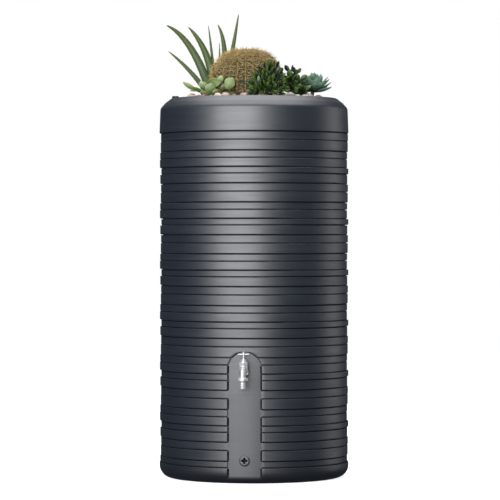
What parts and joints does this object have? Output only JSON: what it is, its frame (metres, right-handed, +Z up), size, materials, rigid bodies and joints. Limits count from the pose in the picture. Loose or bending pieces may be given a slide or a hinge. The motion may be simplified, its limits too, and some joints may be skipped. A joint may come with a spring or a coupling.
{
  "type": "rain barrel",
  "caption": "Upright ribbed water barrel with a lift-out planter in its top, a screw-down draw-off tap with a hose tail, and a drain plug.",
  "frame": {"origin": "centre of the barrel's underside, on its axis", "axes": "+Z up the barrel; the tap and its flat panel face -Y; +X to the right of someone facing the tap"},
  "size_m": [0.5999, 0.6637, 1.461],
  "materials": {
    "tank_plastic": "dark grey moulded plastic, satin",
    "bush_plastic": "dark grey moulded plastic, satin",
    "bowl_plastic": "dark grey moulded plastic, satin",
    "black_plastic": "black moulded plastic",
    "nickel_plate": "nickel-plated brass, polished",
    "brass": "turned brass",
    "rubber": "black rubber",
    "fleece": "needled fleece",
    "soil": "damp potting compost",
    "stone": "rounded pebbles",
    "aloe_leaf": "waxy blue-green leaf",
    "cactus_skin": "ribbed skin under golden spines",
    "jade_leaf": "glossy green leaf",
    "echeveria_leaf": "powdery blue-green leaf",
    "peperomia_leaf": "green leaf with pale edges"
  },
  "bodies": {
    "tank": {"tank_shell": "tank_plastic", "tap_insert": "brass", "drain_bush": "bush_plastic", "tap_wall_seal": "rubber", "tap_body": "nickel_plate", "tap_bonnet": "nickel_plate", "bonnet_seal": "rubber", "gland_nut": "nickel_plate", "gland_packing": "rubber"},
    "planter": {"planter_bowl": "bowl_plastic", "drainage_mat": "fleece", "soil": "soil", "pebbles": "stone", "aloe": "aloe_leaf", "cactus": "cactus_skin", "jade_plant": "jade_leaf", "echeveria": "echeveria_leaf", "peperomia": "peperomia_leaf"},
    "valve": {"valve_jumper": "brass", "valve_washer": "rubber"},
    "handle": {"tap_spindle": "brass", "tap_handle": "nickel_plate", "handle_screw": "nickel_plate"},
    "hose_fitting": {"hose_tail": "nickel_plate", "hose_washer": "rubber"},
    "coupling_nut": {"union_nut": "nickel_plate"},
    "drain_ring": {"drain_seal": "rubber"},
    "drain_screw": {"drain_plug": "bush_plastic"},
    "filler_ring": {"filler_seal": "rubber"},
    "filler_screw": {"filler_plug": "black_plastic"}
  },
  "joints": [
    {"name": "planter_lift", "type": "slide", "parent": "tank", "child": "planter", "axis": [0, 0, 1], "range_m": [0, 0.4]},
    {"name": "valve_lift", "type": "slide", "parent": "tank", "child": "valve", "axis": [0, 0, 1], "range_m": [0, 0.004]},
    {"name": "handle_turn", "type": "hinge", "parent": "valve", "child": "handle", "pos_m": [0, -0.324, 0.402], "axis": [0, 0, 1], "range_deg": [0, 720]},
    {"name": "fitting_drop", "type": "slide", "parent": "tank", "child": "hose_fitting", "axis": [0, 0, -1], "range_m": [0, 0.0054]},
    {"name": "nut_turn", "type": "hinge", "parent": "hose_fitting", "child": "coupling_nut", "pos_m": [0, -0.347, 0.325], "axis": [0, 0, 1], "range_deg": [0, 1080]},
    {"name": "drain_out", "type": "slide", "parent": "tank", "child": "drain_ring", "axis": [0, -1, 0], "range_m": [0, 0.022]},
    {"name": "drain_turn", "type": "hinge", "parent": "drain_ring", "child": "drain_screw", "pos_m": [0, -0.2955, 0.072], "axis": [0, -1, 0], "range_deg": [0, 3600]},
    {"name": "filler_up", "type": "slide", "parent": "tank", "child": "filler_ring", "axis": [0, 0, 1], "range_m": [0, 0.022]},
    {"name": "filler_turn", "type": "hinge", "parent": "filler_ring", "child": "filler_screw", "pos_m": [-0.24827, -0.02478, 1.2], "axis": [0, 0, 1], "range_deg": [0, 3960]}
  ],
  "couplings": [
    {"joint": "handle_turn", "follows": "valve_lift", "rad_per_m": 3141.6},
    {"joint": "nut_turn", "follows": "fitting_drop", "rad_per_m": 3490.7},
    {"joint": "drain_turn", "follows": "drain_out", "rad_per_m": 2856},
    {"joint": "filler_turn", "follows": "filler_up", "rad_per_m": 3141.6}
  ]
}
